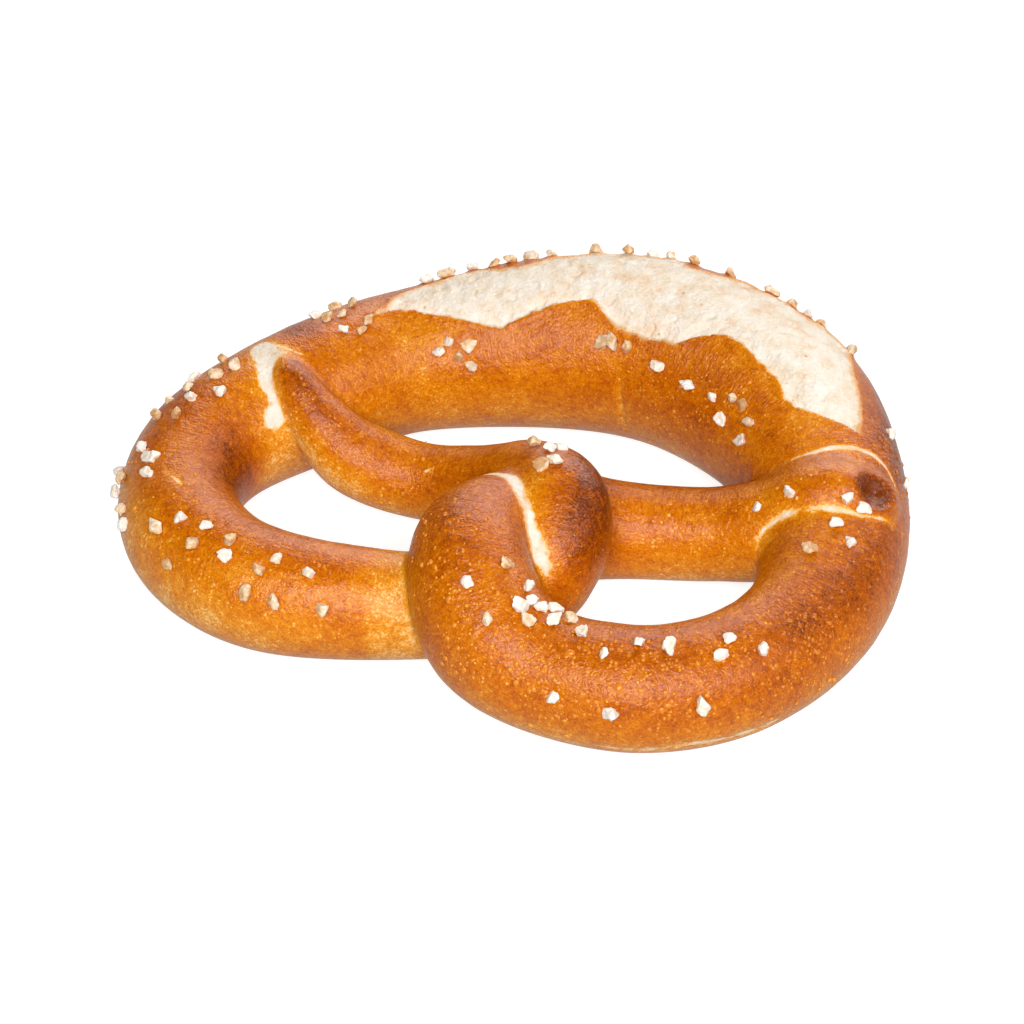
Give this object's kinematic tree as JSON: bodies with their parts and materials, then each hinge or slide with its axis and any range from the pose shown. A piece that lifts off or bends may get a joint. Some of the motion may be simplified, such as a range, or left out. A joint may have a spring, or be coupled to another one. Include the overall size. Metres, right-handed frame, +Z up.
{
  "type": "soft pretzel",
  "caption": "Baked soft pretzel: a dough rope looped and crossed, thick split belly with pale crumb, thinner arms laid over the loop, glossy brown crust, coarse salt.",
  "frame": {"origin": "centre of the footprint's bounding box, on the tray", "axes": "+Z up, +X across the width from the pointed left arm end to the blunt right arm end, +Y from the front lobes to the thick belly"},
  "size_m": [0.1578, 0.1278, 0.034],
  "materials": {
    "crust": "glossy chestnut lye crust, golden on the sides, with a matt cream crumb in the belly's split",
    "salt": "coarse white to tan baked salt crystals, slightly translucent"
  },
  "bodies": {
    "root": {"pretzel": "crust"}
  },
  "joints": []
}
